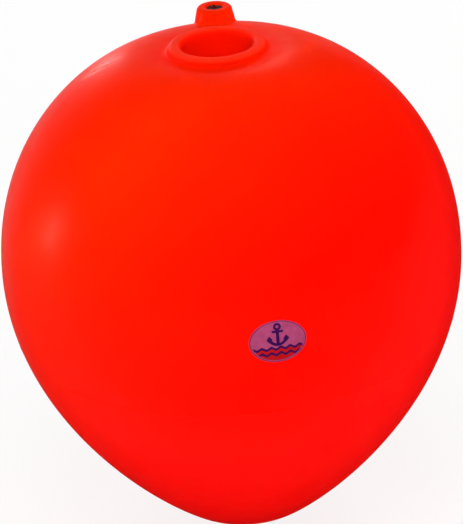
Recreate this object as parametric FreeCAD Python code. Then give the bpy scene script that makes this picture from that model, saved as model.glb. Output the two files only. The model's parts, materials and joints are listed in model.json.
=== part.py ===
"""Inflatable anchor buoy: a hollow vinyl float around an open centre tube, with a screw valve.

Every size is in millimetres. The buoy stands on its foot: the origin is the middle of the
foot face, +Z runs up the centre tube, and the valve stands behind the tube, on the +Y side.
"""
import FreeCAD, Part
import math
import os
from FreeCAD import Vector

# ---- float skin ------------------------------------------------------------------------
FLOAT_RADIUS = 230.0       # radius of the waist, the widest ring of the float
WAIST_HEIGHT = 284.0       # height of the waist above the foot
CROWN_HEIGHT = 502.7       # height of the skin where it meets the top collar
CROWN_REACH = 59.4         # length of the crown curve's handle, level at the collar
SHOULDER_REACH = 144.0     # length of the handle that rises plumb from the waist
HIP_REACH = 153.9          # length of the handle that falls plumb from the waist
FLANK_REACH = 14.9         # length of the handle that carries on the base dome's slope
SKIN_WALL = 4.0            # thickness of the moulded skin

# ---- centre tube and its two collars ---------------------------------------------------
BORE_RADIUS = 35.0         # clear radius all the way through the buoy
TUBE_WALL = 5.0            # thickness of the centre tube
SOCKET_DEPTH = 12.0        # how far the tube goes into each collar
HUB_WALL = 10.0            # thickness of a collar's hub around the tube's socket
RIM_RISE = 8.1             # how far the top rim stands above the crown
RIM_WIDTH = 14.2           # thickness of the top rim around the bore
RIM_ROUND = 4.5            # rounding of the top rim, inside and outside
RIM_FLARE = 12.8           # width of the sweep from the rim's wall out to the skin
TOP_HUB_DEPTH = 20.0       # how far the top hub hangs below the crown
FOOT_FLAT = 9.0            # width of the flat ring that the buoy stands on
FOOT_ROUND = 2.5           # rounding of the bore's edge at the foot
BASE_FLARE = 20.0          # width of the base dome, from the foot's flat out to the skin
DOME_RADIUS = 133.0        # radius of the sphere that the base dome is part of
BASE_HUB_HEIGHT = 26.0     # height of the base hub above the foot

# ---- valve -----------------------------------------------------------------------------
SHANK_RADIUS = 6.0         # outside radius of the plug's threaded shank
SHANK_LENGTH = 18.0        # length of the shank below the plug's head
SHANK_POINT = 1.5          # bevel at the shank's lower end
HEAD_RIM = 1.6             # how far the plug's head stands out past the shank
HEAD_THICKNESS = 2.3       # thickness of the plug's head
SLOT_WIDTH = 1.8           # width of each arm of the cross slot
SLOT_DEPTH = 1.6           # depth of the cross slot
SLOT_MARGIN = 1.2          # plain rim left between the slot's ends and the head's edge
WASHER_THICKNESS = 1.2     # thickness of the sealing washer
LIP_DEPTH = 5.0            # thickness of the vinyl lip above the seat
LIP_ROUND = 2.5            # rounding of the lip's mouth, which dishes the boss's top
SEAT_WALL = 3.4            # thickness of the threaded seat around the shank
SEAT_STEP = 3.0            # how far the seat's flange stands out past its barrel
FLANGE_THICKNESS = 3.0     # thickness of the seat's flange
SEAT_TAIL = 3.0            # how far the seat's barrel hangs below the boss
BOSS_WALL = 4.6            # vinyl around the seat's flange at the boss's top
BOSS_RISE = 11.9           # height of the boss's top above the crown
BOSS_DRAFT = 12.0          # lean of the boss's side, in degrees
BOSS_ROUND = 4.0           # rounding of the boss's top edge
BOSS_ROOT = 1.5            # fillet where the boss grows out of the skin
BOSS_PAD = 4.0             # how far the boss is carried below the skin's inside
VALVE_GAP = 8.4            # space between the top collar's flare and the boss

# ---- label -----------------------------------------------------------------------------
LABEL_WIDTH = 55.0         # length of the oval label around the float
LABEL_HEIGHT = 42.0        # height of the oval label
LABEL_THICKNESS = 0.3      # thickness of the label's film
LABEL_CENTRE = 296.5       # height of the label's middle above the foot
LABEL_TURN = 9.5           # turn of the label from the front, towards +X, in degrees

# ---- clearances ------------------------------------------------------------------------
THREAD_CLEARANCE = 0.05    # radial play of the shank in the seat
MOUTH_CLEARANCE = 0.4      # radial play of the plug's head in the lip's mouth
WASHER_CLEARANCE = 0.1     # radial play of the washer on the shank

# ---- sizes that follow -----------------------------------------------------------------
RIM_HEIGHT = CROWN_HEIGHT + RIM_RISE
RIM_RADIUS = BORE_RADIUS + RIM_WIDTH
CROWN_JOIN = RIM_RADIUS + RIM_FLARE
FOOT_RADIUS = BORE_RADIUS + FOOT_ROUND + FOOT_FLAT
BASE_JOIN = FOOT_RADIUS + BASE_FLARE
DOME_CENTRE = math.sqrt(DOME_RADIUS ** 2 - FOOT_RADIUS ** 2)
TUBE_RADIUS = BORE_RADIUS + TUBE_WALL
HUB_RADIUS = TUBE_RADIUS + HUB_WALL
TOP_HUB_END = CROWN_HEIGHT - TOP_HUB_DEPTH
TUBE_TOP = TOP_HUB_END + SOCKET_DEPTH
TUBE_FOOT = BASE_HUB_HEIGHT - SOCKET_DEPTH

HEAD_RADIUS = SHANK_RADIUS + HEAD_RIM
MOUTH_RADIUS = HEAD_RADIUS + MOUTH_CLEARANCE
SEAT_BORE = SHANK_RADIUS + THREAD_CLEARANCE
BARREL_RADIUS = SEAT_BORE + SEAT_WALL
FLANGE_RADIUS = BARREL_RADIUS + SEAT_STEP
BOSS_TOP = CROWN_HEIGHT + BOSS_RISE
BOSS_TOP_RADIUS = FLANGE_RADIUS + BOSS_WALL
BOSS_SLOPE = math.tan(math.radians(BOSS_DRAFT))
BOSS_OFFSET = CROWN_JOIN + VALVE_GAP + BOSS_TOP_RADIUS + BOSS_RISE * BOSS_SLOPE
SEAT_TOP = BOSS_TOP - LIP_DEPTH
HEAD_BASE = SEAT_TOP + WASHER_THICKNESS

UP = Vector(0, 0, 1)


def point(radius, height):
    """A point of an upright half section, at a radius from the axis and a height."""
    return Vector(radius, 0, height)


def line(start, end):
    return Part.LineSegment(start, end).toShape()


def chain(*points):
    """Straight edges from each point to the next."""
    return [line(a, b) for a, b in zip(points, points[1:])]


def quarter(start, end, centre):
    """A quarter round from start to end, about centre."""
    spoke = (start - centre) + (end - centre)
    radius = (start - centre).Length
    middle = centre + spoke.normalize() * radius
    return Part.Arc(start, middle, end).toShape()


def bezier(*poles):
    curve = Part.BezierCurve()
    curve.setPoles(list(poles))
    return curve


def ring(edges):
    """The solid that a closed half section sweeps out about the Z axis."""
    face = Part.Face(Part.Wire(Part.sortEdges(edges)[0]))
    return face.revolve(Vector(), UP, 360)


def dome_height(radius, inset=0.0):
    """Height of the base dome, or of the sphere that lies inset within it, at a radius."""
    return DOME_CENTRE - math.sqrt((DOME_RADIUS - inset) ** 2 - radius ** 2)


def crown_curve(inset=0.0):
    """The skin's outline from the top collar out and down to the waist, moved in by inset."""
    waist = FLOAT_RADIUS - inset
    top = CROWN_HEIGHT - inset
    return bezier(point(CROWN_JOIN, top), point(CROWN_JOIN + CROWN_REACH, top),
                  point(waist, WAIST_HEIGHT + SHOULDER_REACH), point(waist, WAIST_HEIGHT))


def flank_curve(inset=0.0):
    """The skin's outline from the waist down and in to the base dome, moved in by inset."""
    waist = FLOAT_RADIUS - inset
    end = point(BASE_JOIN, dome_height(BASE_JOIN, inset))
    slope = math.asin(BASE_JOIN / (DOME_RADIUS - inset))
    handle = end + point(math.cos(slope), math.sin(slope)) * FLANK_REACH
    return bezier(point(waist, WAIST_HEIGHT), point(waist, WAIST_HEIGHT - HIP_REACH), handle, end)


def skin_height(radius, inset=0.0):
    """Height of the crown at a radius, found by halving the stretch of curve that holds it."""
    curve = crown_curve(inset)
    near, far = curve.FirstParameter, curve.LastParameter
    while far - near > 1e-9:
        middle = (near + far) / 2
        if curve.value(middle).x < radius:
            near = middle
        else:
            far = middle
    return curve.value(near).z


def band(outer, inner):
    """The ring between the skin's outline at one inset and at another."""
    outlines = [crown_curve(outer), flank_curve(outer), crown_curve(inner), flank_curve(inner)]
    joins = [line(crown_curve(outer).StartPoint, crown_curve(inner).StartPoint),
             line(flank_curve(outer).EndPoint, flank_curve(inner).EndPoint)]
    return ring([outline.toShape() for outline in outlines] + joins)


def upright(radius, low, high):
    """An upright cylinder on the valve's axis, from one height to another."""
    return Part.makeCylinder(radius, high - low, Vector(0, BOSS_OFFSET, low))


def edges_at(shape, height, radius):
    """The round edges on the valve's axis with one height and radius."""
    return [edge for edge in shape.Edges
            if isinstance(edge.Curve, Part.Circle)
            and abs(edge.Curve.Center.z - height) < 1e-6
            and abs(edge.Curve.Radius - radius) < 1e-6]


def boss_foot():
    """Height of the boss's flat underside, below the skin's inside all round the boss."""
    reach = BOSS_OFFSET + BOSS_TOP_RADIUS
    return skin_height(reach, SKIN_WALL) - BOSS_PAD


def boss_radius(height):
    """Radius of the boss's leaning side at a height."""
    return BOSS_TOP_RADIUS + (BOSS_TOP - height) * BOSS_SLOPE


def boss():
    """The solid vinyl boss that carries the valve, before its seat is cut."""
    low = boss_foot()
    base = Vector(0, BOSS_OFFSET, low)
    cone = Part.makeCone(boss_radius(low), BOSS_TOP_RADIUS, BOSS_TOP - low, base)
    return cone.makeFillet(BOSS_ROUND, edges_at(cone, BOSS_TOP, BOSS_TOP_RADIUS))


def seat_pocket():
    """The space in the boss that the seat fills, with the lip's mouth above it."""
    flange = upright(FLANGE_RADIUS, SEAT_TOP - FLANGE_THICKNESS, SEAT_TOP)
    barrel = upright(BARREL_RADIUS, boss_foot(), SEAT_TOP)
    mouth = upright(MOUTH_RADIUS, SEAT_TOP, BOSS_TOP)
    return flange.fuse([barrel, mouth]).removeSplitter()


def is_boss_root(edge):
    """True for a line where the boss's side meets the outside of the skin."""
    middle = edge.valueAt((edge.FirstParameter + edge.LastParameter) / 2)
    on_skin = abs(middle.z - skin_height(math.hypot(middle.x, middle.y))) < 1e-3
    return on_skin and math.hypot(middle.x, middle.y - BOSS_OFFSET) < boss_radius(boss_foot())


def float_skin():
    """The hollow skin with the valve's boss on it; both ends are open for the collars."""
    skin = band(0.0, SKIN_WALL).fuse(boss()).removeSplitter()
    skin = skin.makeFillet(BOSS_ROOT, [edge for edge in skin.Edges if is_boss_root(edge)])
    skin = skin.cut(seat_pocket())
    return skin.makeFillet(LIP_ROUND, edges_at(skin, BOSS_TOP, MOUTH_RADIUS))


def top_collar():
    """The thick top ring: rim, sweep out to the skin, and a hub that holds the tube."""
    shoulder = RIM_HEIGHT - RIM_ROUND
    inner = quarter(point(BORE_RADIUS, shoulder), point(BORE_RADIUS + RIM_ROUND, RIM_HEIGHT),
                    point(BORE_RADIUS + RIM_ROUND, shoulder))
    outer = quarter(point(RIM_RADIUS - RIM_ROUND, RIM_HEIGHT), point(RIM_RADIUS, shoulder),
                    point(RIM_RADIUS - RIM_ROUND, shoulder))
    flat = line(point(BORE_RADIUS + RIM_ROUND, RIM_HEIGHT), point(RIM_RADIUS - RIM_ROUND, RIM_HEIGHT))
    sweep = bezier(point(RIM_RADIUS, shoulder), point(RIM_RADIUS, CROWN_HEIGHT),
                   point(CROWN_JOIN, CROWN_HEIGHT)).toShape()
    hub = chain(point(CROWN_JOIN, CROWN_HEIGHT), point(CROWN_JOIN, CROWN_HEIGHT - SKIN_WALL),
                point(HUB_RADIUS, CROWN_HEIGHT - SKIN_WALL), point(HUB_RADIUS, TOP_HUB_END),
                point(TUBE_RADIUS, TOP_HUB_END), point(TUBE_RADIUS, TUBE_TOP),
                point(BORE_RADIUS, TUBE_TOP), point(BORE_RADIUS, shoulder))
    return ring([inner, flat, outer, sweep] + hub)


def dome_arc(start, end, inset=0.0):
    """The base dome's arc between two radii."""
    middle = (start + end) / 2
    stations = [point(radius, dome_height(radius, inset)) for radius in (start, middle, end)]
    return Part.Arc(*stations).toShape()


def bottom_collar():
    """The thick base ring: flat foot, domed underside, and a hub that holds the tube."""
    edge = quarter(point(BORE_RADIUS, FOOT_ROUND), point(BORE_RADIUS + FOOT_ROUND, 0),
                   point(BORE_RADIUS + FOOT_ROUND, FOOT_ROUND))
    flat = line(point(BORE_RADIUS + FOOT_ROUND, 0), point(FOOT_RADIUS, 0))
    dome = dome_arc(FOOT_RADIUS, BASE_JOIN)
    join = line(point(BASE_JOIN, dome_height(BASE_JOIN)),
                point(BASE_JOIN, dome_height(BASE_JOIN, SKIN_WALL)))
    inside = dome_arc(BASE_JOIN, HUB_RADIUS, SKIN_WALL)
    hub = chain(point(HUB_RADIUS, dome_height(HUB_RADIUS, SKIN_WALL)),
                point(HUB_RADIUS, BASE_HUB_HEIGHT), point(TUBE_RADIUS, BASE_HUB_HEIGHT),
                point(TUBE_RADIUS, TUBE_FOOT), point(BORE_RADIUS, TUBE_FOOT),
                point(BORE_RADIUS, FOOT_ROUND))
    return ring([edge, flat, dome, join, inside] + hub)


def centre_tube():
    """The open tube between the two collars' sockets."""
    base = Vector(0, 0, TUBE_FOOT)
    length = TUBE_TOP - TUBE_FOOT
    return Part.makeCylinder(TUBE_RADIUS, length, base).cut(
        Part.makeCylinder(BORE_RADIUS, length, base))


def valve_seat():
    """The flanged bush, moulded into the boss, that the plug screws into."""
    low = boss_foot() - SEAT_TAIL
    barrel = upright(BARREL_RADIUS, low, SEAT_TOP)
    flange = upright(FLANGE_RADIUS, SEAT_TOP - FLANGE_THICKNESS, SEAT_TOP)
    return barrel.fuse(flange).cut(upright(SEAT_BORE, low, SEAT_TOP)).removeSplitter()


def valve_washer():
    """The soft washer under the plug's head."""
    disc = upright(HEAD_RADIUS, SEAT_TOP, HEAD_BASE)
    return disc.cut(upright(SHANK_RADIUS + WASHER_CLEARANCE, SEAT_TOP, HEAD_BASE))


def valve_plug():
    """The screw plug: a round head with a cross slot, on a shank with a bevelled end."""
    low = HEAD_BASE - SHANK_LENGTH
    head_top = HEAD_BASE + HEAD_THICKNESS
    shank = upright(SHANK_RADIUS, low, HEAD_BASE)
    shank = shank.makeChamfer(SHANK_POINT, edges_at(shank, low, SHANK_RADIUS))
    plug = shank.fuse(upright(HEAD_RADIUS, HEAD_BASE, head_top)).removeSplitter()
    arm = 2 * (HEAD_RADIUS - SLOT_MARGIN)
    for length, width in ((arm, SLOT_WIDTH), (SLOT_WIDTH, arm)):
        corner = Vector(-length / 2, BOSS_OFFSET - width / 2, head_top - SLOT_DEPTH)
        plug = plug.cut(Part.makeBox(length, width, SLOT_DEPTH, corner))
    return plug


def label():
    """The oval film stuck to the front of the float, as thick as the film all over."""
    outward = Vector(math.sin(math.radians(LABEL_TURN)), -math.cos(math.radians(LABEL_TURN)), 0)
    middle = outward * (FLOAT_RADIUS / 2) + UP * LABEL_CENTRE
    oval = Part.Ellipse(Vector(), LABEL_WIDTH / 2, LABEL_HEIGHT / 2).toShape()
    face = Part.Face(Part.Wire(oval))
    face.Placement = FreeCAD.Placement(middle, FreeCAD.Rotation(UP.cross(outward), UP, outward))
    return band(-LABEL_THICKNESS, 0.0).common(face.extrude(outward * FLOAT_RADIUS))


def main():
    os.makedirs("parts", exist_ok=True)
    pieces = (float_skin, top_collar, bottom_collar, centre_tube,
              valve_seat, valve_washer, valve_plug, label)
    for piece in pieces:
        shape = piece()
        shape.exportStep(f"parts/{piece.__name__}.step")
        print(piece.__name__, len(shape.Solids), shape.isValid(), round(shape.Volume, 1))


main()
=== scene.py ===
"""Looks of the inflatable anchor buoy: moulded vinyl float, centre tube, screw valve and label.

Lengths are in metres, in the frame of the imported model: the foot's middle is the origin and
+Z runs up the centre tube. Each shape is a surface worked out on a grid as whole arrays: most
are a half section, a run of (radius, height) points, turned about an upright axis.
"""
import json
import math

import bmesh
import bpy
import numpy as np
from mathutils import Matrix, Vector


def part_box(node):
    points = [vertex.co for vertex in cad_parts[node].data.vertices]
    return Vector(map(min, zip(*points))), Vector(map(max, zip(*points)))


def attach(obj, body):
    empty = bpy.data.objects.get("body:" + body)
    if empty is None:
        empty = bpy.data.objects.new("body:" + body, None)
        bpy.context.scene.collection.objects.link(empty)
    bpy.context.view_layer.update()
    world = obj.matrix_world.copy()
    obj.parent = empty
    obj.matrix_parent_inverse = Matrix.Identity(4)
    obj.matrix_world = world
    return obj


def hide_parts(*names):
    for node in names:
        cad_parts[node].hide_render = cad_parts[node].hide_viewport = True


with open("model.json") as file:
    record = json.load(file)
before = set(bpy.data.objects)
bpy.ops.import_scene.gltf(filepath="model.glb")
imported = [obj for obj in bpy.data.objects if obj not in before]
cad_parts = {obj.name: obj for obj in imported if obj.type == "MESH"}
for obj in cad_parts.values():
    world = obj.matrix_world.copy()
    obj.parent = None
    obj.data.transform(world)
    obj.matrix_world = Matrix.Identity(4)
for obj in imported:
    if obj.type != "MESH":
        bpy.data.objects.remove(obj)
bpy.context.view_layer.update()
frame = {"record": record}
MM = 0.001
TAU = 2 * math.pi

# ---- places read from the frame --------------------------------------------------------
MOUNTS = {mount["name"]: mount for mount in frame["record"]["mounts"]}
BORE = MOUNTS["centre_bore"]["dims"]["r_mm"] * MM
SKIN_LOW, SKIN_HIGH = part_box("float_skin")
RIM_LOW, RIM_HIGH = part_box("top_collar")
BASE_LOW, BASE_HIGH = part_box("bottom_collar")
TUBE_LOW, TUBE_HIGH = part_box("centre_tube")
SEAT_LOW, SEAT_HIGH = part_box("valve_seat")
WASHER_LOW, WASHER_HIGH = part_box("valve_washer")
PLUG_LOW, PLUG_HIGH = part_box("valve_plug")
LABEL_LOW, LABEL_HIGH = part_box("label")

WAIST_RADIUS = SKIN_HIGH.x
CROWN_JOIN = RIM_HIGH.x            # radius where the top collar meets the skin
BASE_JOIN = BASE_HIGH.x            # radius where the base dome meets the skin
TUBE_RADIUS = TUBE_HIGH.x
VALVE_AXIS = (0.0, (PLUG_LOW.y + PLUG_HIGH.y) / 2)
BUOY_AXIS = (0.0, 0.0)

# ---- float and collars -----------------------------------------------------------------
WAIST_HEIGHT = 284.0 * MM          # height of the widest ring
CROWN_HEIGHT = 502.7 * MM          # height of the skin at the top collar
CROWN_REACH = 59.4 * MM            # handle of the crown curve, level
SHOULDER_REACH = 144.0 * MM        # handle up from the waist
HIP_REACH = 153.9 * MM             # handle down from the waist
FLANK_REACH = 14.9 * MM            # handle out from the base dome
DOME_RADIUS = 133.0 * MM           # sphere that the base is part of
SKIN_WALL = 4.0 * MM
RIM_WIDTH = 14.2 * MM              # rim around the bore
RIM_INNER_ROUND = 6.0 * MM
RIM_OUTER_ROUND = 7.0 * MM
RIM_LEAN = 8.0                     # degrees from plumb where the rim's side turns to the sweep
HUB_WALL = 10.0 * MM               # hub around the tube's socket
FOOT_FLAT_END = 46.5 * MM          # outer radius of the foot's flat ring
FOOT_ROUND = 2.5 * MM
PARTING_DROP = 66.0 * MM           # how far the mould's parting line lies below the waist
PARTING_PROUD = 0.18 * MM
PARTING_WIDTH = 0.7 * MM           # from its ridge to where it has sunk by two thirds
PARTING_ROWS = MM * np.array([0.0, 0.3, 0.6, 1.0, 1.6, 2.4])  # the grid's rows beside it
PARTING_CLEAR = 3.0 * MM           # where the even rows take over again
UNEVEN = 0.12 * MM                 # size of the skin's slow waves
WAVES = ((1.0, 2, 9.0, 1.1),       # each: share of that size, waves in a turn, slant with
         (0.6, 3, -14.0, 0.0),     # height in radians a metre, start in radians
         (0.4, 5, 21.0, 0.7))
VALVE_WINDOW = 13.0 * MM           # half the opening left in the skin under the boss

# ---- valve -----------------------------------------------------------------------------
SHANK_RADIUS = 6.0 * MM
SHANK_POINT = 1.5 * MM
THREAD_PITCH = 2.0 * MM
THREAD_DEPTH = 0.7 * MM            # depth of the groove on the shank
THREAD_FLANK = 3.2                 # steepness of its flanks
THREAD_RUNOUT = 1.0 * MM           # length over which the groove comes in and goes out
THREAD_TOP = 0.9 * MM              # where it ends below the head
THREAD_STEP = 0.12 * MM            # between the rings of points on the shank
NECK = 0.6 * MM                    # length under the head without rings
SEAT_GROOVE = 0.25 * MM            # depth of the groove in the seat's bore
SLOT_WIDTH = 1.8 * MM
SLOT_DEPTH = 1.6 * MM
SLOT_MARGIN = 1.2 * MM             # from the slot's ends to the head's edge
PLUG_SOFT = 0.18 * MM              # radius that softens the slot; the head's are 2 and 3 times it
FLANGE_THICKNESS = 3.0 * MM
SEAT_STEP = 3.0 * MM               # from the flange's edge in to the barrel
SEAT_TAIL = 3.0 * MM               # length of the barrel below the boss
SEAT_CHAMFER = 0.4 * MM
WASHER_ROUND = 0.35 * MM
THREAD_CLEARANCE = 0.05 * MM
MOUTH_CLEARANCE = 0.4 * MM
WASHER_CLEARANCE = 0.1 * MM
WASHER_GAP = 0.02 * MM             # above and below the washer, so that no faces coincide
LIP_ROUND = 2.5 * MM
BOSS_WALL = 4.6 * MM
BOSS_SLOPE = math.tan(math.radians(12.0))
BOSS_ROUND = 4.0 * MM
BOSS_ROOT = 2.2 * MM               # size of the sweep from the boss's side to the crown
BOSS_TUCK_OUT = 0.5 * MM           # how its rim goes on outwards
BOSS_TUCK_DOWN = 0.6 * MM          # and sinks into the skin

SEAT_TOP = SEAT_HIGH.z
FLANGE_RADIUS = (SEAT_HIGH.x - SEAT_LOW.x) / 2
BARREL_RADIUS = FLANGE_RADIUS - SEAT_STEP
HEAD_RADIUS = (PLUG_HIGH.x - PLUG_LOW.x) / 2
MOUTH_RADIUS = HEAD_RADIUS + MOUTH_CLEARANCE
BOSS_TOP = SKIN_HIGH.z
BOSS_TOP_RADIUS = FLANGE_RADIUS + BOSS_WALL
BOSS_FOOT = SEAT_LOW.z + SEAT_TAIL

# ---- label -----------------------------------------------------------------------------
LABEL_WIDTH = 55.0 * MM
LABEL_HEIGHT = LABEL_HIGH.z - LABEL_LOW.z
LABEL_FILM = 0.3 * MM
EDGE_SHARES = (0.0, 0.97, 0.99, 0.998, 1.0)  # shares of the way out to the film's edge
EDGE_HEIGHTS = (1.0, 1.0, 0.9, 0.5, 0.2)     # and the share of its thickness left there

# ---- fineness of the grids -------------------------------------------------------------
OUTLINE_POINTS = 2001
SKIN_ROWS, SKIN_TURNS = 104, 320
COLLAR_TURNS, COLLAR_STEP = 256, 4.0 * MM
TUBE_TURNS, TUBE_STEP = 192, 8.0 * MM
BOSS_TURNS = 128
BOSS_SWEEP_POINTS = 12
COLLAR_SWEEP_POINTS = 16
MEETING_ROUNDS = 12                # of the search for where the boss meets the crown
VALVE_TURNS = 96
SEAT_ROWS = 130
LABEL_TURNS = 144

# ---- finish of the vinyl ---------------------------------------------------------------
VINYL_RED = (1.0, 0.0004, 0.0001)
# painted light and sheen: the orange the vinyl turns up and to the back left
VINYL_PAINTED_LIT = (1.0, 0.0200, 0.0002)
VINYL_MOTTLED = (0.97, 0.0030, 0.0002)
VINYL_SCUFFED = (1.0, 0.010, 0.001)
# painted light: the rim's up-facing top, paler as if lit from above
VINYL_RIM_LIT = (1.0, 0.026, 0.0075)
# partly a rub, partly a painted highlight: the pale streak on the crown's left
VINYL_RUB_AND_GLINT = (1.0, 0.28, 0.25)
VINYL_TINT = (1.0, 0.80, 0.20, 1.0)            # of what it mirrors
VINYL_SPECULAR = 0.06
VINYL_ROUGHNESS = (0.525, 0.62)
PAINTED_LIGHT_SIDE = Vector((-0.55, 0.5, 0.67))          # side that the painted light and sheen fall from
PAINTED_LIGHT_FROM = -40.0 * MM                         # distances along it from the foot's middle
PAINTED_LIGHT_TO = 290.0 * MM
PAINTED_LIGHT_POWER = 2.6
RIM_LIT_TOP = 1.0 * MM                        # depth below the rim's top where its painted light is full
RIM_LIT_END = 4.0 * MM                        # and where it ends
SHADE_FROM = 36.0 * MM                         # radii where the bore's painted shade gives way to the painted light
SHADE_TO = 76.0 * MM
SHADE_LEFT = 0.33                              # share of the painted light that the bore keeps: painted shade
BORE_EDGE_FROM = 0.3 * MM                      # distances out from the bore between which the rim's painted light sets in
BORE_EDGE_TO = 3.7 * MM                        # rim's wear sets in
DULL_COLLAR = -0.24                            # change of roughness from the bore to the crown
GLOSS_WAVES, GLOSS_RANGE = 30.0, (0.40, 0.62)  # waves in a metre, and the range of noise used
MOTTLE_WAVES, MOTTLE_RANGE = 9.0, (0.35, 0.65)
MOTTLE_MOST = 0.30                             # share of the mottle's colour at most
SCUFF_GRAIN = (240.0, 240.0, 54.0)             # waves in a metre each way: long scuffs
SCUFF_RANGE = (0.56, 0.70)
SCUFF_MOST = 0.30
RUB_GLINT_PLACE = Vector((-0.114, 0.013, 0.488))     # a pale streaky rub on the crown's left, partly a painted highlight
RUB_GLINT_STRETCH = Vector((0.45, 1.0, 0.45))        # it runs down the crown, not across it
RUB_GLINT_REACH = 13.0 * MM
RUB_GLINT_GRAIN = (54.0, 252.0, 54.0)
RUB_GLINT_RANGE = (0.42, 0.60)
RUB_GLINT_MOST = 0.95
PEEL_WAVES, PEEL_RELIEF = 900.0, 0.4 * MM
DENT_WAVES, DENT_RELIEF = 60.0, 1.2 * MM
SLIGHT = 0.10                                  # strength of both reliefs

# ---- finish of the valve and the label -------------------------------------------------
NYLON_DARK = (0.045, 0.002, 0.003)
NYLON_WORN = (0.085, 0.006, 0.008)
NYLON_ROUGHNESS = 0.42
RUBBER_ROUGHNESS = 0.62
BLACK_WAVES, BLACK_RELIEF = 700.0, 0.2 * MM
FILM_WAVES, FILM_RELIEF = 400.0, 0.3 * MM
FADE_WAVES = 160.0                 # of the print's own fading
TRIM_SPECULAR = 0.2                # of the black parts and the film
GROUND_DARK = (0.295, 0.037, 0.11)
GROUND_PALE = (0.39, 0.057, 0.157)
SEA_RED = (0.39, 0.001, 0.003)
DARK_BLUE = (0.028, 0.0008, 0.066)
BORDER_PLUM = (0.16, 0.006, 0.055)

# ---- studio ----------------------------------------------------------------------------
FLOOR_HALF = 14.0                  # half its side
FLOOR_DROP = 0.2 * MM              # so that the foot and the floor don't coincide
FLOOR_WHITE = 0.85                 # share of plain white in the seen floor
FLOOR_SEEN = (0.95, 0.95, 0.95)
FLOOR_LIT = (0.68, 0.68, 0.68)     # what the float gets back from it
SKY_BRIGHT = Vector((-0.3, 0.95, 0.05))
SKY_EDGE = 0.75                    # cosine from it at which the brightness begins
SKY_DIM = 0.015
SKY_LIGHT = 0.42
COLLAR_AIM = 1.03 * CROWN_HEIGHT   # height of the top ring's own narrow lamp's aim
CAMERA_AIM = Vector((-0.0004, 0, 0.2747))
CAMERA_DISTANCE = 3.012
CAMERA_LIFT = math.radians(25.22)
CAMERA_ROLL = math.radians(4.0)
CAMERA_SENSOR = 36.0               # millimetres high
CAMERA_LENS = 206.5                # millimetres


# ---- outlines --------------------------------------------------------------------------
def bezier(start, first, second, end, count):
    """Points of the cubic curve (1-t)^3 A + 3t(1-t)^2 B + 3t^2(1-t) C + t^3 D."""
    t = np.linspace(0.0, 1.0, count)[:, None]
    a, b, c, d = (np.array(p, float) for p in (start, first, second, end))
    return a * (1 - t) ** 3 + 3 * b * t * (1 - t) ** 2 + 3 * c * t ** 2 * (1 - t) + d * t ** 3


def arc(centre, radius, start, end, count):
    """Points on a circle about centre, from one angle to another, in degrees."""
    angle = np.radians(np.linspace(start, end, count))
    return np.array(centre) + radius * np.stack([np.cos(angle), np.sin(angle)], 1)


def path(*stretches):
    """One run of points: the stretches one after another, each point once."""
    points = np.concatenate([np.atleast_2d(np.array(s, float)) for s in stretches])
    step = np.linalg.norm(np.diff(points, axis=0), axis=1)
    return points[np.concatenate([[True], step > 1e-7])]


def run_length(points):
    """Distance along a run of points, at each point."""
    return np.concatenate([[0.0], np.cumsum(np.linalg.norm(np.diff(points, axis=0), axis=1))])


def refine(points, step):
    """The same run with points added on its long straights, about step apart."""
    length = run_length(points)
    even = np.linspace(0.0, length[-1], max(2, int(length[-1] / step) + 1))
    station = np.unique(np.round(np.concatenate([length, even]), 6))
    return np.stack([np.interp(station, length, points[:, k]) for k in (0, 1)], 1)


# ---- meshes ----------------------------------------------------------------------------
def full_turn(count):
    """Even angles once round, the first at +X."""
    return np.linspace(0.0, TAU, count, endpoint=False)


def make_object(name, verts, faces, uv=None, sharp=35.0):
    """A smooth-shaded object whose edges stay sharp past an angle."""
    mesh = bpy.data.meshes.new(name)
    mesh.from_pydata(verts.reshape(-1, 3), [], [f for part in faces for f in part.tolist()])
    mesh.polygons.foreach_set("use_smooth", np.ones(len(mesh.polygons), bool))
    if uv is not None:
        corner = np.empty(len(mesh.loops), np.int32)
        mesh.loops.foreach_get("vertex_index", corner)
        layer = mesh.uv_layers.new(name="print")
        layer.data.foreach_set("uv", uv.reshape(-1, 2)[corner].astype(np.float32).ravel())
    mesh.update()
    mesh.set_sharp_from_angle(angle=math.radians(sharp))
    obj = bpy.data.objects.new(name, mesh)
    bpy.context.collection.objects.link(obj)
    return obj


def weld(obj, distance):
    """Merges points that lie together, which closes the poles."""
    bm = bmesh.new()
    bm.from_mesh(obj.data)
    bmesh.ops.remove_doubles(bm, verts=bm.verts, dist=distance)
    bm.to_mesh(obj.data)
    bm.free()


def point_ids(verts):
    """Numbers of a grid's points, in the grid's own rows and columns."""
    return np.arange(verts.shape[0] * verts.shape[1]).reshape(verts.shape[:2])


def strip(low, high):
    """Four-sided faces between two rows of point numbers."""
    return np.stack([low[:-1], low[1:], high[1:], high[:-1]], -1)


def grid_faces(ids, close_rows=False):
    """Faces over rows of point numbers that run right round an axis."""
    low, high = (ids, np.roll(ids, -1, 0)) if close_rows else (ids[:-1], ids[1:])
    faces = np.stack([low, np.roll(low, -1, 1), np.roll(high, -1, 1), high], -1)
    return faces.reshape(-1, 4)


def around(section, turns, axis=BUOY_AXIS):
    """Points of a turned surface: x = a + r cos u, y = b + r sin u, z = h."""
    radius, height = section[:, 0][:, None], section[:, 1][:, None]
    x = axis[0] + radius * np.cos(turns)
    y = axis[1] + radius * np.sin(turns)
    return np.stack([x, y, np.broadcast_to(height, x.shape)], -1)


def turned_ring(name, section, count, axis=BUOY_AXIS):
    """A closed ring: a closed half section, drawn anticlockwise, turned about an axis."""
    verts = around(section, full_turn(count), axis)
    return make_object(name, verts, [grid_faces(point_ids(verts), close_rows=True)])


# ---- float skin ------------------------------------------------------------------------
def dome_height(radius, inset=0.0):
    """Height of the base dome at a radius: a sphere that the foot's flat ring cuts."""
    centre = math.sqrt(DOME_RADIUS ** 2 - FOOT_FLAT_END ** 2)
    return centre - np.sqrt((DOME_RADIUS - inset) ** 2 - radius ** 2)


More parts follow.
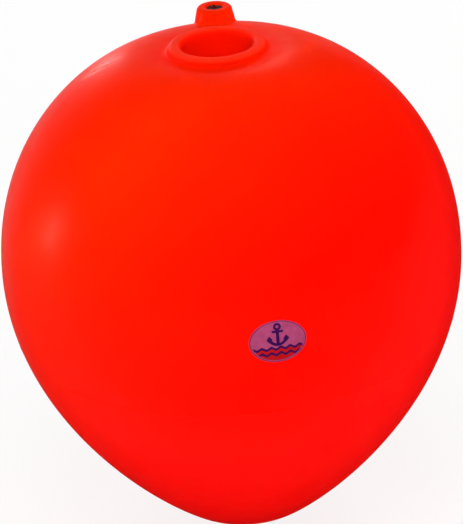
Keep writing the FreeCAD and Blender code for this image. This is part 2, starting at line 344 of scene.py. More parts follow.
def skin_section(inset=0.0):
    """The float's half outline from the base up: two cubic curves that meet at the waist."""
    waist = WAIST_RADIUS - inset
    top = CROWN_HEIGHT - inset
    base = np.array([BASE_JOIN, dome_height(BASE_JOIN, inset)])
    lean = math.asin(BASE_JOIN / (DOME_RADIUS - inset))
    handle = base + FLANK_REACH * np.array([math.cos(lean), math.sin(lean)])
    lower = bezier(base, handle, (waist, WAIST_HEIGHT - HIP_REACH), (waist, WAIST_HEIGHT),
                   OUTLINE_POINTS)
    upper = bezier((waist, WAIST_HEIGHT), (waist, WAIST_HEIGHT + SHOULDER_REACH),
                   (CROWN_JOIN + CROWN_REACH, top), (CROWN_JOIN, top), OUTLINE_POINTS)
    return np.concatenate([lower, upper[1:]])


OUTLINE = skin_section()
CROWN_LINE = OUTLINE[OUTLINE[:, 1] >= WAIST_HEIGHT][::-1]


def crown_height(radius):
    """Height of the crown at a distance from the buoy's axis, read off the outline."""
    return np.interp(radius, CROWN_LINE[:, 0], CROWN_LINE[:, 1])


def skin_stations(length):
    """Where the skin's rows lie along the outline: even, and close at the parting line."""
    parting = np.interp(WAIST_HEIGHT - PARTING_DROP, OUTLINE[:, 1], length)
    even = np.linspace(0.0, length[-1], SKIN_ROWS)
    even = even[abs(even - parting) > PARTING_CLEAR]
    return np.sort(np.concatenate([even, parting - PARTING_ROWS[1:], parting + PARTING_ROWS]))


def skin_push(station, height, turns):
    """How far the skin stands out of its outline.

    Slow waves, a sum of sines of the turn and the height that fades out at both ends, only
    sink it; at the parting line a narrow bell curve raises it.
    """
    fade = np.sin(math.pi * station / station[-1]) ** 2
    wave = sum(size * (np.sin(waves * turns + slant * height + start) - 1.0)
               for size, waves, slant, start in WAVES)
    ridge = np.exp(-((height - WAIST_HEIGHT + PARTING_DROP) / PARTING_WIDTH) ** 2)
    return fade * UNEVEN * wave + PARTING_PROUD * ridge


def float_skin():
    """The hollow skin: outside and inside share rows, and are joined at both ends.

    A block of faces is left out under the valve's boss, and its four sides are walled.
    """
    length = run_length(OUTLINE)
    station = skin_stations(length)
    turns = full_turn(SKIN_TURNS)
    outer, inner = (np.stack([np.interp(station, length, line[:, k]) for k in (0, 1)], 1)
                    for line in (OUTLINE, skin_section(SKIN_WALL)))
    slope = np.gradient(outer, axis=0)
    slope /= np.linalg.norm(slope, axis=1)[:, None]
    push = skin_push(station[:, None], outer[:, 1][:, None], turns)
    outside = around(outer, turns)
    outside[..., 0] += push * slope[:, 1][:, None] * np.cos(turns)
    outside[..., 1] += push * slope[:, 1][:, None] * np.sin(turns)
    outside[..., 2] -= push * slope[:, 0][:, None]

    verts = np.stack([outside, around(inner, turns)])
    out, back = np.arange(verts[..., 0].size).reshape(verts.shape[:3])
    window = valve_window(outside)
    rows, columns = np.where(window.any(1))[0], np.where(window.any(0))[0]
    r = slice(rows[0], rows[-1] + 2)
    c = slice(columns[0], columns[-1] + 2)
    shape = (len(station) - 1, len(turns), 4)
    faces = [grid_faces(out).reshape(shape)[~window],
             grid_faces(back)[:, ::-1].reshape(shape)[~window],
             grid_faces(np.stack([back[0], out[0]])),
             grid_faces(np.stack([out[-1], back[-1]])),
             strip(out[r.start, c], back[r.start, c]),
             strip(back[r.stop - 1, c], out[r.stop - 1, c]),
             strip(back[r, c.start], out[r, c.start]),
             strip(out[r, c.stop - 1], back[r, c.stop - 1])]
    return make_object("float_skin_shell", verts, faces)


def valve_window(outside):
    """True for the grid's faces in a block of rows and columns under the valve's boss."""
    middle = (outside[:-1] + outside[1:] + np.roll(outside[:-1], -1, 1)
              + np.roll(outside[1:], -1, 1)) / 4
    near = ((abs(middle[..., 0] - VALVE_AXIS[0]) < VALVE_WINDOW)
            & (abs(middle[..., 1] - VALVE_AXIS[1]) < VALVE_WINDOW)
            & (middle[..., 2] > WAIST_HEIGHT))
    return near.any(1)[:, None] & near.any(0)[None]


# ---- valve boss ------------------------------------------------------------------------
def boss_top_section():
    """The boss's turned part: the seat's pocket, the dished mouth and the round top edge."""
    lean = math.degrees(math.atan(BOSS_SLOPE))
    reach = BOSS_ROUND * math.tan(math.radians(90.0 - lean) / 2)
    edge = (BOSS_TOP_RADIUS - reach, BOSS_TOP - BOSS_ROUND)
    flange_low = SEAT_TOP - FLANGE_THICKNESS
    return path((BARREL_RADIUS, BOSS_FOOT), (BARREL_RADIUS, flange_low),
                (FLANGE_RADIUS, flange_low), (FLANGE_RADIUS, SEAT_TOP), (MOUTH_RADIUS, SEAT_TOP),
                arc((MOUTH_RADIUS + LIP_ROUND, BOSS_TOP - LIP_ROUND), LIP_ROUND, 180, 90, 15),
                arc(edge, BOSS_ROUND, 90, lean, 15))


def valve_boss():
    """The vinyl boss: its top is turned about the valve, its root follows the crown.

    On each side line the root is a parabola that leaves the side and settles on the crown,
    with its control point where the two would meet. That meeting point is found by going
    back and forth between the side's radius and the crown's height.
    """
    turns = full_turn(BOSS_TURNS)
    section = boss_top_section()
    side_r, side_z = section[-1]

    def ground(radius):
        return crown_height(np.hypot(VALVE_AXIS[0] + radius * np.cos(turns),
                                     VALVE_AXIS[1] + radius * np.sin(turns)))

    meet_r = np.full_like(turns, side_r)
    for _ in range(MEETING_ROUNDS):
        meet_r = side_r + (side_z - ground(meet_r)) * BOSS_SLOPE
    meet_z = ground(meet_r)
    from_r, from_z = meet_r - BOSS_ROOT * BOSS_SLOPE, meet_z + BOSS_ROOT
    to_r = meet_r + BOSS_ROOT
    to_z = ground(to_r)
    t = np.linspace(0.0, 1.0, BOSS_SWEEP_POINTS)[:, None]
    root_r = from_r * (1 - t) ** 2 + 2 * meet_r * t * (1 - t) + to_r * t ** 2
    root_z = from_z * (1 - t) ** 2 + 2 * meet_z * t * (1 - t) + to_z * t ** 2
    side = np.array([0.3, 0.6, 0.8])[:, None]
    row = np.ones((1, len(turns)))
    radius = np.concatenate([side_r + (from_r - side_r) * side, root_r,
                             row * (to_r + BOSS_TUCK_OUT), row * meet_r.min()])
    height = np.concatenate([side_z + (from_z - side_z) * side, root_z,
                             row * (to_z - BOSS_TUCK_DOWN), row * BOSS_FOOT])
    foot = np.stack([VALVE_AXIS[0] + radius * np.cos(turns),
                     VALVE_AXIS[1] + radius * np.sin(turns), height], -1)
    verts = np.concatenate([around(section, turns, VALVE_AXIS), foot])[::-1]
    return make_object("valve_boss", verts, [grid_faces(point_ids(verts), close_rows=True)])


# ---- collars and tube ------------------------------------------------------------------
def top_collar():
    """The top ring's closed half section: hub, bore, rounded rim and the sweep to the skin.

    The sweep is the parabola whose handles follow the leaning side and the level crown.
    """
    rim = BORE + RIM_WIDTH
    shoulder = RIM_HIGH.z - RIM_OUTER_ROUND
    hub = TUBE_RADIUS + HUB_WALL
    under = CROWN_HEIGHT - SKIN_WALL
    t = np.linspace(0.0, 1.0, COLLAR_SWEEP_POINTS)[:, None]
    side = arc((rim - RIM_OUTER_ROUND, shoulder), RIM_OUTER_ROUND, RIM_LEAN, 90, 17)
    run = (side[0, 1] - CROWN_HEIGHT) * math.tan(math.radians(RIM_LEAN))
    sweep = (np.array((CROWN_JOIN, CROWN_HEIGHT)) * (1 - t) ** 2
             + 2 * np.array((side[0, 0] + run, CROWN_HEIGHT)) * t * (1 - t)
             + side[0] * t ** 2)
    section = path((BORE, TUBE_HIGH.z), (TUBE_RADIUS, TUBE_HIGH.z), (TUBE_RADIUS, RIM_LOW.z),
                   (hub, RIM_LOW.z), (hub, under), (CROWN_JOIN, under), sweep, side,
                   arc((BORE + RIM_INNER_ROUND, RIM_HIGH.z - RIM_INNER_ROUND),
                       RIM_INNER_ROUND, 90, 180, 15))
    return turned_ring("top_collar_ring", refine(section, COLLAR_STEP), COLLAR_TURNS)


def bottom_collar():
    """The base ring's closed half section: bore, flat foot, dome and hub."""
    hub = TUBE_RADIUS + HUB_WALL
    out = np.linspace(FOOT_FLAT_END, BASE_JOIN, 14)
    back = np.linspace(BASE_JOIN, hub, 8)
    section = path(arc((BORE + FOOT_ROUND, FOOT_ROUND), FOOT_ROUND, 180, 270, 9),
                   np.stack([out, dome_height(out)], 1),
                   np.stack([back, dome_height(back, SKIN_WALL)], 1),
                   (hub, BASE_HIGH.z), (TUBE_RADIUS, BASE_HIGH.z),
                   (TUBE_RADIUS, TUBE_LOW.z), (BORE, TUBE_LOW.z))
    return turned_ring("bottom_collar_ring", refine(section, COLLAR_STEP), COLLAR_TURNS)


def centre_tube():
    """The tube's wall, a rectangle turned about the buoy's axis."""
    corners = path((BORE, TUBE_HIGH.z), (BORE, TUBE_LOW.z), (TUBE_RADIUS, TUBE_LOW.z),
                   (TUBE_RADIUS, TUBE_HIGH.z))
    section = refine(np.concatenate([corners, corners[:1]]), TUBE_STEP)[:-1]
    return turned_ring("centre_tube_wall", section, TUBE_TURNS)


# ---- valve -----------------------------------------------------------------------------
def thread_wave(height, turn):
    """A flat-topped thread: 1 on the crest and 0 in the groove, climbing a pitch each turn."""
    phase = (height / THREAD_PITCH - turn / TAU) % 1.0
    return np.clip(THREAD_FLANK * (0.5 - abs(2 * phase - 1)) + 0.5, 0.0, 1.0)


def thread_fade(height, low, high):
    """Share of the thread's depth: none at either end, all of it past the run-out."""
    return np.clip(np.minimum(height - low, high - height) / THREAD_RUNOUT, 0.0, 1.0)


def valve_seat():
    """The flanged bush: its bore carries the groove of the plug's thread."""
    turns = full_turn(VALVE_TURNS)
    bore = SHANK_RADIUS + THREAD_CLEARANCE
    low, step = SEAT_LOW.z, SEAT_CHAMFER
    flange_low = SEAT_TOP - FLANGE_THICKNESS
    outside = path((bore, low), (BARREL_RADIUS - step, low), (BARREL_RADIUS, low + step),
                   (BARREL_RADIUS, flange_low), (FLANGE_RADIUS, flange_low),
                   (FLANGE_RADIUS, SEAT_TOP), (bore + step, SEAT_TOP))
    height = np.linspace(SEAT_TOP - step, low + step, SEAT_ROWS)[:, None] * np.ones_like(turns)
    groove = SEAT_GROOVE * (1 - thread_wave(height - PLUG_LOW.z, turns))
    radius = bore + thread_fade(height, low, SEAT_TOP) * groove
    inner = np.stack([VALVE_AXIS[0] + radius * np.cos(turns),
                      VALVE_AXIS[1] + radius * np.sin(turns), height], -1)
    verts = np.concatenate([around(outside, turns, VALVE_AXIS), inner])
    return make_object("valve_seat_bush", verts, [grid_faces(point_ids(verts), close_rows=True)])


def valve_washer():
    """The soft washer: a rectangle with rounded corners, turned about the valve."""
    inner, outer = SHANK_RADIUS + WASHER_CLEARANCE, (WASHER_HIGH.x - WASHER_LOW.x) / 2
    low, high, edge = WASHER_LOW.z + WASHER_GAP, WASHER_HIGH.z - WASHER_GAP, WASHER_ROUND
    section = path(arc((inner + edge, low + edge), edge, 180, 270, 5),
                   arc((outer - edge, low + edge), edge, 270, 360, 5),
                   arc((outer - edge, high - edge), edge, 0, 90, 5),
                   arc((inner + edge, high - edge), edge, 90, 180, 5))
    return turned_ring("valve_washer_ring", section, VALVE_TURNS, VALVE_AXIS)


def cross_edge(turns, reach, half):
    """Distance from the middle to the edge of a cross of two bars, along each turn."""
    tiny = 1e-9
    across, along = abs(np.cos(turns)) + tiny, abs(np.sin(turns)) + tiny
    first = np.minimum(reach / across, half / along)
    second = np.minimum(half / across, reach / along)
    return np.maximum(first, second)


def plug_turns(reach, half):
    """Even turns, with more where the corners of the cross slot lie."""
    corner = math.atan2(half, reach)
    quarter = np.arange(4) * math.pi / 2
    marks = np.concatenate([quarter + corner, quarter - corner, quarter + math.pi / 4]) % TAU
    return np.unique(np.round(np.concatenate([full_turn(VALVE_TURNS), marks]), 6))


def valve_plug():
    """The screw plug as rows of rings from the shank's tip up to the cross slot's floor.

    Rings on the shank stand in by the thread's wave, rings around the slot follow the
    cross's own edge, and the rings between it and the head's edge blend the two.
    """
    head_low, head_top, tip = WASHER_HIGH.z, PLUG_HIGH.z, PLUG_LOW.z
    reach, half, soft = HEAD_RADIUS - SLOT_MARGIN, SLOT_WIDTH / 2, PLUG_SOFT
    floor_z = head_top - SLOT_DEPTH
    turns = plug_turns(reach, half)
    ones = np.ones_like(turns)
    cross = cross_edge(turns, reach, half)
    pole = 1e-6 * ones

    shank_z = np.arange(tip + SHANK_POINT, head_low - NECK, THREAD_STEP)
    fade = thread_fade(shank_z, tip + THREAD_RUNOUT, head_low - THREAD_TOP)[:, None]
    groove = THREAD_DEPTH * fade * (1 - thread_wave(shank_z[:, None] - tip, turns))
    rows = [(pole, tip), ((SHANK_RADIUS - SHANK_POINT) * ones, tip)]
    rows += [(SHANK_RADIUS - g, z) for g, z in zip(groove, shank_z)]
    head = path((SHANK_RADIUS, head_low), (HEAD_RADIUS - 2 * soft, head_low),
                arc((HEAD_RADIUS - 2 * soft, head_low + 2 * soft), 2 * soft, 270, 360, 5),
                arc((HEAD_RADIUS - 3 * soft, head_top - 3 * soft), 3 * soft, 0, 90, 7))
    rows += [(r * ones, z) for r, z in head]
    lip = cross + soft
    rows += [(lip + (head[-1][0] - lip) * share, head_top) for share in (0.66, 0.33, 0.0)]
    rows += [(cross + soft * (1 - math.sin(a)), head_top - soft * (1 - math.cos(a)))
             for a in np.radians((30, 60, 90))]
    rows += [(cross, floor_z + soft), (cross - soft, floor_z), ((cross - soft) / 2, floor_z),
             (pole, floor_z)]
    radius = np.array([r for r, _ in rows])
    height = np.array([z for _, z in rows])[:, None] * ones
    verts = np.stack([VALVE_AXIS[0] + radius * np.cos(turns),
                      VALVE_AXIS[1] + radius * np.sin(turns), height], -1)
    plug = make_object("valve_plug_screw", verts, [grid_faces(point_ids(verts))], sharp=40.0)
    weld(plug, 0.01 * MM)
    return plug


# ---- label -----------------------------------------------------------------------------
def label_film():
    """The oval film: rings of one ellipse laid round the float, with a soft thin edge.

    A ring at share s has the points (s a cos u, s b sin u), wrapped round the float by
    angle = across / radius; the outer face stands off the skin and the inner one sinks in.
    """
    middle_z = (LABEL_LOW.z + LABEL_HIGH.z) / 2
    middle_x = (LABEL_LOW.x + LABEL_HIGH.x) / 2
    facing = -math.acos(middle_x / WAIST_RADIUS)
    turns = full_turn(LABEL_TURNS)
    share = np.concatenate([[1e-5], np.linspace(0.06, 0.96, 20), [0.98, 0.992, 0.998, 1.0]])
    lift = LABEL_FILM * np.interp(share, EDGE_SHARES, EDGE_HEIGHTS)
    across = share[:, None] * LABEL_WIDTH / 2 * np.cos(turns)
    up = share[:, None] * LABEL_HEIGHT / 2 * np.sin(turns)
    radius = np.interp(middle_z + up, OUTLINE[:, 1], OUTLINE[:, 0])
    angle = facing + across / radius
    print_uv = np.stack([across / LABEL_WIDTH, up / LABEL_HEIGHT], -1) + 0.5

    def laid(height):
        out = radius + height
        return np.stack([out * np.cos(angle), out * np.sin(angle), middle_z + up], -1)

    verts = np.concatenate([laid(lift[:, None]), laid(-LABEL_FILM)[::-1]])
    uv = np.concatenate([print_uv, print_uv[::-1]])
    film = make_object("label_film", verts, [grid_faces(point_ids(verts))[:, ::-1]], uv=uv)
    weld(film, 0.002 * MM)
    return film


# ---- material helpers ------------------------------------------------------------------
def new_material(name):
    """A new node material, its tree and its Principled shader."""
    material = bpy.data.materials.new(name)
    material.use_nodes = True
    tree = material.node_tree
    return material, tree, tree.nodes["Principled BSDF"]


def put(tree, value, socket):
    """Links a socket, or sets a plain number or colour."""
    if isinstance(value, bpy.types.NodeSocket):
        tree.links.new(value, socket)
    elif isinstance(value, tuple):
        socket.default_value = value + (1.0,)
    else:
        socket.default_value = value


def object_point(tree, scale=(1.0, 1.0, 1.0)):
    """Object coordinates, stretched by a scale."""
    source = tree.nodes.new("ShaderNodeTexCoord")
    mapping = tree.nodes.new("ShaderNodeMapping")
    mapping.inputs["Scale"].default_value = scale
    tree.links.new(source.outputs["Object"], mapping.inputs["Vector"])
    return mapping.outputs["Vector"]


def parts_of(tree, vector):
    """A vector's three parts."""
    node = tree.nodes.new("ShaderNodeSeparateXYZ")
    tree.links.new(vector, node.inputs["Vector"])
    return node.outputs["X"], node.outputs["Y"], node.outputs["Z"]


def noise(tree, vector, scale, detail=3.0, roughness=0.55):
    """Smooth noise of about 0 to 1; the scale is its waves in a metre."""
    node = tree.nodes.new("ShaderNodeTexNoise")
    node.inputs["Scale"].default_value = scale
    node.inputs["Detail"].default_value = detail
    node.inputs["Roughness"].default_value = roughness
    tree.links.new(vector, node.inputs["Vector"])
    return node.outputs["Fac"]


def spread(tree, value, low, high, new_low, new_high, soft=False):
    """A value's range stretched to a new one and held at its ends, in a soft S if asked."""
    node = tree.nodes.new("ShaderNodeMapRange")
    node.interpolation_type = "SMOOTHSTEP" if soft else "LINEAR"
    for name, number in zip(("From Min", "From Max", "To Min", "To Max"),
                            (low, high, new_low, new_high)):
        node.inputs[name].default_value = number
    tree.links.new(value, node.inputs["Value"])
    return node.outputs["Result"]


def mix(tree, share, first, second):
    """A colour between two, each a socket or a plain colour."""
    node = tree.nodes.new("ShaderNodeMixRGB")
    put(tree, share, node.inputs["Fac"])
    put(tree, first, node.inputs["Color1"])
    put(tree, second, node.inputs["Color2"])
    return node.outputs["Color"]


def bump(tree, height, strength, distance, normal=None):
    """A normal tilted by a height, on top of another one if given."""
    node = tree.nodes.new("ShaderNodeBump")
    node.inputs["Strength"].default_value = strength
    node.inputs["Distance"].default_value = distance
    tree.links.new(height, node.inputs["Height"])
    if normal is not None:
        tree.links.new(normal, node.inputs["Normal"])
    return node.outputs["Normal"]


def calc(tree, operation, *values):
    """One operation on sockets and numbers."""
    node = tree.nodes.new("ShaderNodeMath")
    node.operation = operation
    for socket, value in zip(node.inputs, values):
        put(tree, value, socket)
    return node.outputs[0]


def hypotenuse(tree, first, second):
    """The root of the sum of two squares."""
    return calc(tree, "SQRT", calc(tree, "ADD", calc(tree, "MULTIPLY", first, first),
                                   calc(tree, "MULTIPLY", second, second)))


def compare(tree, operation, vector, other):
    """A number from a vector and a fixed one: their dot product or their distance."""
    node = tree.nodes.new("ShaderNodeVectorMath")
    node.operation = operation
    node.inputs[1].default_value = other
    tree.links.new(vector, node.inputs[0])
    return node.outputs["Value"]


def seen_by(tree, *rays):
    """1 for rays of the named kinds and 0 for all others."""
    node = tree.nodes.new("ShaderNodeLightPath")
    result = node.outputs[rays[0]]
    for kind in rays[1:]:
        result = calc(tree, "MAXIMUM", result, node.outputs[kind])
    return result


# ---- finishes --------------------------------------------------------------------------
def painted_light_share(tree, place, painted_light_and_gloss_share):
    """Share of the painted light: a power of the way along its side, less where painted shade
    lies.
    """
    reach = spread(tree, compare(tree, "DOT_PRODUCT", place, PAINTED_LIGHT_SIDE.normalized()),
                   PAINTED_LIGHT_FROM, PAINTED_LIGHT_TO, 0.0, 1.0)
    return calc(tree, "MULTIPLY", calc(tree, "POWER", reach, PAINTED_LIGHT_POWER), painted_light_and_gloss_share)


def painted_rim_light(tree, radius, height):
    """Painted light: 1 atop the top collar's rim, softly down to 0 in the bore and on its side.
    """
    high = spread(tree, height, RIM_HIGH.z - RIM_LIT_END, RIM_HIGH.z - RIM_LIT_TOP,
                  0.0, 1.0, soft=True)
    outside_bore = spread(tree, radius, BORE + BORE_EDGE_FROM, BORE + BORE_EDGE_TO,
                          0.0, 1.0, soft=True)
    return calc(tree, "MINIMUM", calc(tree, "LESS_THAN", radius, CROWN_JOIN),
                calc(tree, "MINIMUM", high, outside_bore))


def crown_rub_and_glint(tree):
    """Share of a rub and painted highlight: streaky noise, fading out with the stretched
    distance.
    """
    away = compare(tree, "DISTANCE", object_point(tree, RUB_GLINT_STRETCH), RUB_GLINT_PLACE * RUB_GLINT_STRETCH)
    streaks = noise(tree, object_point(tree, RUB_GLINT_GRAIN), 1.0, 5.0, 0.6)
    return calc(tree, "MULTIPLY", spread(tree, streaks, *RUB_GLINT_RANGE, 0.0, 1.0),
                spread(tree, away, RUB_GLINT_REACH, 0.0, 0.0, RUB_GLINT_MOST, soft=True))


def vinyl_material():
    """Satin moulded vinyl: red, with painted light making it orange up and to the back left.

    The bore keeps less of that light, as painted shade, and the rim's up-facing top is painted
    paler as lit. On it lie a faint mottle, long soft scuffs, one streaky rub that is partly a
    painted highlight, fine orange peel and slow dents. Its gloss varies slowly and is duller
    near the top collar.
    """
    material, tree, shader = new_material("orange_red_vinyl")
    place = object_point(tree)
    x, y, z = parts_of(tree, place)
    radius = hypotenuse(tree, x, y)
    # painted shade: the bore keeps only part of the painted light; this share also sets the gloss
    painted_light_and_gloss_share = spread(tree, radius, SHADE_FROM, SHADE_TO, SHADE_LEFT, 1.0, soft=True)
    mottle = spread(tree, noise(tree, place, MOTTLE_WAVES, 4.0), *MOTTLE_RANGE, 0.0, MOTTLE_MOST)
    scuffs = spread(tree, noise(tree, object_point(tree, SCUFF_GRAIN), 1.0, 6.0, 0.7),
                    *SCUFF_RANGE, 0.0, SCUFF_MOST)
    # painted light and sheen: orange up and to the back left
    colour = mix(tree, painted_light_share(tree, place, painted_light_and_gloss_share), VINYL_RED, VINYL_PAINTED_LIT)
    colour = mix(tree, mottle, colour, VINYL_MOTTLED)
    colour = mix(tree, scuffs, colour, VINYL_SCUFFED)
    # painted light on the rim's up-facing top
    colour = mix(tree, painted_rim_light(tree, radius, z), colour, VINYL_RIM_LIT)
    # a pale rub on the crown's left that is partly a painted highlight
    colour = mix(tree, crown_rub_and_glint(tree), colour, VINYL_RUB_AND_GLINT)
    tree.links.new(colour, shader.inputs["Base Color"])
    gloss = spread(tree, noise(tree, place, GLOSS_WAVES, 5.0), *GLOSS_RANGE, *VINYL_ROUGHNESS)
    tree.links.new(calc(tree, "MULTIPLY_ADD", painted_light_and_gloss_share, DULL_COLLAR, gloss),
                   shader.inputs["Roughness"])
    shader.inputs["Specular IOR Level"].default_value = VINYL_SPECULAR
    shader.inputs["Specular Tint"].default_value = VINYL_TINT
    peel = bump(tree, noise(tree, place, PEEL_WAVES, 2.0), SLIGHT, PEEL_RELIEF)
    dents = bump(tree, noise(tree, place, DENT_WAVES, 2.0), SLIGHT, DENT_RELIEF, peel)
    tree.links.new(dents, shader.inputs["Normal"])
    return material


def black_material(name, roughness):
    """Moulded black nylon or rubber: near-black grain, a little warm where it has worn."""
    material, tree, shader = new_material(name)
    grain = noise(tree, object_point(tree), BLACK_WAVES, 4.0)
    colour = mix(tree, spread(tree, grain, 0.35, 0.7, 0.0, 1.0), NYLON_DARK, NYLON_WORN)
    tree.links.new(colour, shader.inputs["Base Color"])
    tree.links.new(spread(tree, grain, 0.3, 0.7, roughness - 0.06, roughness + 0.08),
                   shader.inputs["Roughness"])
    shader.inputs["Specular IOR Level"].default_value = TRIM_SPECULAR
    tree.links.new(bump(tree, grain, 0.25, BLACK_RELIEF), shader.inputs["Normal"])
    return material


def label_material():
    """Printed film: mauve ground and plum border, an anchor over a blue and red sea.

    The print is drawn in millimetres from the label's middle, each motif as the space where
    a distance is below nought.
    """
    material, tree, shader = new_material("label_print")
    source = tree.nodes.new("ShaderNodeUVMap")
    source.uv_map = "print"
    u, v, _ = parts_of(tree, source.outputs["UV"])
    half_w, half_h = LABEL_WIDTH / MM / 2, LABEL_HEIGHT / MM / 2
    x = calc(tree, "MULTIPLY_ADD", u, 2 * half_w, -half_w)
    y = calc(tree, "MULTIPLY_ADD", v, 2 * half_h, -half_h)

    def inside(distance):
        """1 where a distance is below nought."""
        return calc(tree, "LESS_THAN", distance, 0.0)

    def off(value, centre):
        """How far a value lies from another, either way."""
        return calc(tree, "ABSOLUTE", calc(tree, "SUBTRACT", value, centre))

    def either(*shapes):
        """1 where any of the shapes is."""
        result = shapes[0]
        for shape in shapes[1:]:
            result = calc(tree, "MAXIMUM", result, shape)
        return result

    def both(first, second):
        """1 where two shapes overlap."""
        return calc(tree, "MINIMUM", first, second)

    def bar(cx, cy, half_x, half_y):
        """A rectangle about a middle."""
        across = calc(tree, "SUBTRACT", off(x, cx), half_x)
        up = calc(tree, "SUBTRACT", off(y, cy), half_y)
        return inside(calc(tree, "MAXIMUM", across, up))

    def hoop(cy, radius, half):
        """A ring about a middle on the upright line, with half its breadth."""
        reach = hypotenuse(tree, x, calc(tree, "SUBTRACT", y, cy))
        return inside(calc(tree, "SUBTRACT", off(reach, radius), half))

    shank, stock = bar(0.0, 5.2, 1.5, 8.4), bar(0.0, 10.2, 5.4, 1.2)
    ring = hoop(15.0, 2.6, 1.1)
    arms = both(hoop(5.2, 8.2, 1.4), inside(calc(tree, "SUBTRACT", y, 2.2)))
    to_fluke = calc(tree, "ADD", off(calc(tree, "ABSOLUTE", x), 8.0),
                    calc(tree, "MULTIPLY", off(y, 2.6), 0.8))
    flukes = inside(calc(tree, "SUBTRACT", to_fluke, 2.9))
    anchor = either(shank, stock, ring, arms, flukes)

    swell = calc(tree, "MULTIPLY", calc(tree, "SINE", calc(tree, "MULTIPLY", x, TAU / 9.0)), 1.1)
    depth = calc(tree, "SUBTRACT", y, swell)
    sea = inside(calc(tree, "ADD", depth, 5.4))
    crests = either(*(inside(calc(tree, "SUBTRACT", off(depth, middle), 1.3))
                      for middle in (-6.7, -12.4)))

    oval = hypotenuse(tree, calc(tree, "DIVIDE", x, half_w), calc(tree, "DIVIDE", y, half_h))
    border = inside(calc(tree, "SUBTRACT", off(oval, 0.965), 0.016))
    within = inside(calc(tree, "SUBTRACT", oval, 0.91))

    fade = noise(tree, object_point(tree), FADE_WAVES, 4.0)
    colour = mix(tree, spread(tree, fade, 0.3, 0.7, 0.0, 1.0), GROUND_DARK, GROUND_PALE)
    colour = mix(tree, both(sea, within), colour, SEA_RED)
    colour = mix(tree, either(anchor, both(crests, within)), colour, DARK_BLUE)
    tree.links.new(mix(tree, border, colour, BORDER_PLUM), shader.inputs["Base Color"])
    tree.links.new(spread(tree, fade, 0.3, 0.7, 0.32, 0.44), shader.inputs["Roughness"])
    relief = noise(tree, object_point(tree), FILM_WAVES)
    tree.links.new(bump(tree, relief, 0.12, FILM_RELIEF), shader.inputs["Normal"])
    shader.inputs["Specular IOR Level"].default_value = TRIM_SPECULAR
    return material


# ---- studio ----------------------------------------------------------------------------
def studio_floor():
    """A wide pale floor just under the foot, which keeps the buoy's shadow."""
    corners = [(FLOOR_HALF * x, FLOOR_HALF * y, -FLOOR_DROP)
               for x, y in ((-1, -1), (1, -1), (1, 1), (-1, 1))]
    mesh = bpy.data.meshes.new("studio_floor")
    mesh.from_pydata(corners, [], [(0, 1, 2, 3)])
    obj = bpy.data.objects.new("studio_floor", mesh)
    bpy.context.collection.objects.link(obj)
    material, tree, shader = new_material("pale_floor")
    shader.inputs["Roughness"].default_value = 0.9
    shader.inputs["Specular IOR Level"].default_value = 0.0
    direct = seen_by(tree, "Is Camera Ray", "Is Glossy Ray", "Is Transmission Ray")
    tree.links.new(mix(tree, direct, FLOOR_LIT, FLOOR_SEEN), shader.inputs["Base Color"])
    white = tree.nodes.new("ShaderNodeEmission")
    blend = tree.nodes.new("ShaderNodeMixShader")
    tree.links.new(calc(tree, "MULTIPLY", direct, FLOOR_WHITE), blend.inputs["Fac"])
    tree.links.new(shader.outputs["BSDF"], blend.inputs[1])
    tree.links.new(white.outputs["Emission"], blend.inputs[2])
    tree.links.new(blend.outputs["Shader"], tree.nodes["Material Output"].inputs["Surface"])
    mesh.materials.append(material)
    obj.visible_glossy = False


def sky():
    """Dim light from all round, brighter behind on the left; the camera sees plain white.

    Glossy rays don't see the white, which would turn the satin vinyl's edges pale.
    """
    world = bpy.data.worlds.new("studio_sky")
    bpy.context.scene.world = world
    world.use_nodes = True
    tree = world.node_tree
    source = tree.nodes.new("ShaderNodeTexCoord")
    toward = compare(tree, "DOT_PRODUCT", source.outputs["Generated"], SKY_BRIGHT.normalized())
    level = spread(tree, toward, SKY_EDGE, 1.0, SKY_DIM, SKY_LIGHT, soft=True)
    background = tree.nodes["Background"]
    direct = seen_by(tree, "Is Camera Ray", "Is Transmission Ray")
    tree.links.new(calc(tree, "MAXIMUM", level, direct), background.inputs["Strength"])
    background.inputs["Color"].default_value = (1.0, 1.0, 1.0, 1.0)


def soft_box(name, turn, lift, distance, width, height, power, glossy=True,
             aim=WAIST_HEIGHT, beam=180.0):
    """A lamp aimed at a height on the axis, at a turn from the front and a lift, in degrees.

    Its size is in metres, its power in watts and its beam's angle in degrees. One that
    isn't glossy shows in no reflection.
    """
    turn, lift = math.radians(turn), math.radians(lift)
    away = Vector((math.sin(turn) * math.cos(lift), -math.cos(turn) * math.cos(lift),
                   math.sin(lift)))
    lamp = bpy.data.lights.new(name, "AREA")
    lamp.shape = "RECTANGLE"
    lamp.size, lamp.size_y = width, height
    lamp.energy = power
    lamp.spread = math.radians(beam)
    obj = bpy.data.objects.new(name, lamp)
    obj.location = Vector((0, 0, aim)) + away * distance
    obj.rotation_euler = away.to_track_quat("Z", "Y").to_euler()
    obj.visible_glossy = glossy
    lamp.cycles.use_multiple_importance_sampling = glossy
    obj.visible_camera = False
    bpy.context.collection.objects.link(obj)


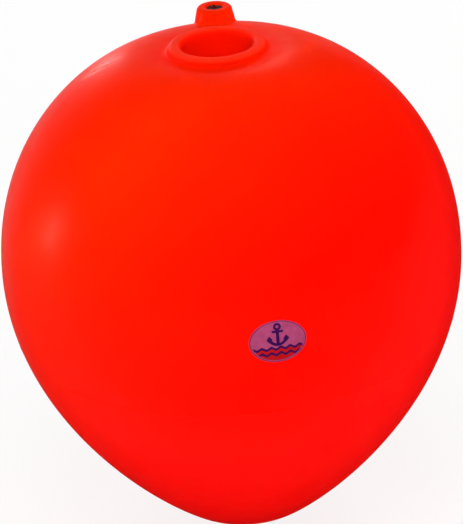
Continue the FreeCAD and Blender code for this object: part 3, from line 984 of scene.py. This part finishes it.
def studio():
    """Sky, floor, nine soft fills that light the buoy, and three lamps that glint on it."""
    sky()
    studio_floor()
    soft_box("top_lamp", -6, 42, 2.6, 1.8, 1.8, 15.0, glossy=False)
    soft_box("collar_lamp", 0, 46, 1.5, 0.24, 0.24, 0.07, glossy=False, aim=COLLAR_AIM, beam=15)
    soft_box("overhead_lamp", 0, 66, 2.6, 1.8, 1.8, 39.0, glossy=False)
    soft_box("left_fill", -85, 10, 2.6, 1.6, 1.4, 15.0, glossy=False)
    soft_box("right_fill", 80, 10, 2.6, 1.8, 1.4, 20.0, glossy=False)
    soft_box("left_back_fill", -125, 12, 2.6, 1.6, 1.4, 12.0, glossy=False)
    soft_box("right_back_fill", 120, 8, 2.6, 1.6, 1.4, 16.0, glossy=False)
    soft_box("low_fill", 0, -10, 1.3, 3.2, 0.10, 12.6, glossy=False)
    soft_box("back_fill", 170, 25, 2.6, 1.8, 1.6, 22.0, glossy=False)
    soft_box("window_lamp", -98, 6.5, 2.2, 0.34, 0.50, 5.8)
    soft_box("back_lamp", -163, 10.5, 2.6, 0.34, 0.40, 2.1)
    soft_box("crown_lamp", 172, 31, 2.6, 0.35, 0.25, 1.2)


def camera():
    """A long lens in front and above, rolled so that the buoy's top leans to the left."""
    back = Vector((0, -math.cos(CAMERA_LIFT), math.sin(CAMERA_LIFT)))
    level, rise = Vector((1, 0, 0)), Vector((0, math.sin(CAMERA_LIFT), math.cos(CAMERA_LIFT)))
    right = level * math.cos(CAMERA_ROLL) - rise * math.sin(CAMERA_ROLL)
    up = level * math.sin(CAMERA_ROLL) + rise * math.cos(CAMERA_ROLL)
    data = bpy.data.cameras.new("front_camera")
    data.sensor_fit = "VERTICAL"
    data.sensor_height = CAMERA_SENSOR
    data.lens = CAMERA_LENS
    data.clip_end = 50.0
    obj = bpy.data.objects.new("front_camera", data)
    place = CAMERA_AIM + back * CAMERA_DISTANCE
    obj.matrix_world = Matrix([[right.x, up.x, back.x, place.x], [right.y, up.y, back.y, place.y],
                               [right.z, up.z, back.z, place.z], [0, 0, 0, 1]])
    bpy.context.collection.objects.link(obj)
    bpy.context.scene.camera = obj


# ---- the buoy --------------------------------------------------------------------------
def dress(piece, node, body, material):
    """A piece that stands for a node, rides its body and takes one finish."""
    piece.data.materials.append(material)
    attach(piece, body)
    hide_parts(node)


vinyl = vinyl_material()
nylon = black_material("black_nylon", NYLON_ROUGHNESS)
rubber = black_material("black_rubber", RUBBER_ROUGHNESS)

dress(float_skin(), "float_skin", "float", vinyl)
dress(valve_boss(), "float_skin", "float", vinyl)
dress(top_collar(), "top_collar", "float", vinyl)
dress(bottom_collar(), "bottom_collar", "float", vinyl)
dress(centre_tube(), "centre_tube", "float", vinyl)
dress(valve_seat(), "valve_seat", "float", nylon)
dress(valve_washer(), "valve_washer", "washer", rubber)
dress(valve_plug(), "valve_plug", "plug", nylon)
dress(label_film(), "label", "float", label_material())

studio()
camera()
bpy.context.scene.view_settings.view_transform = "Standard"
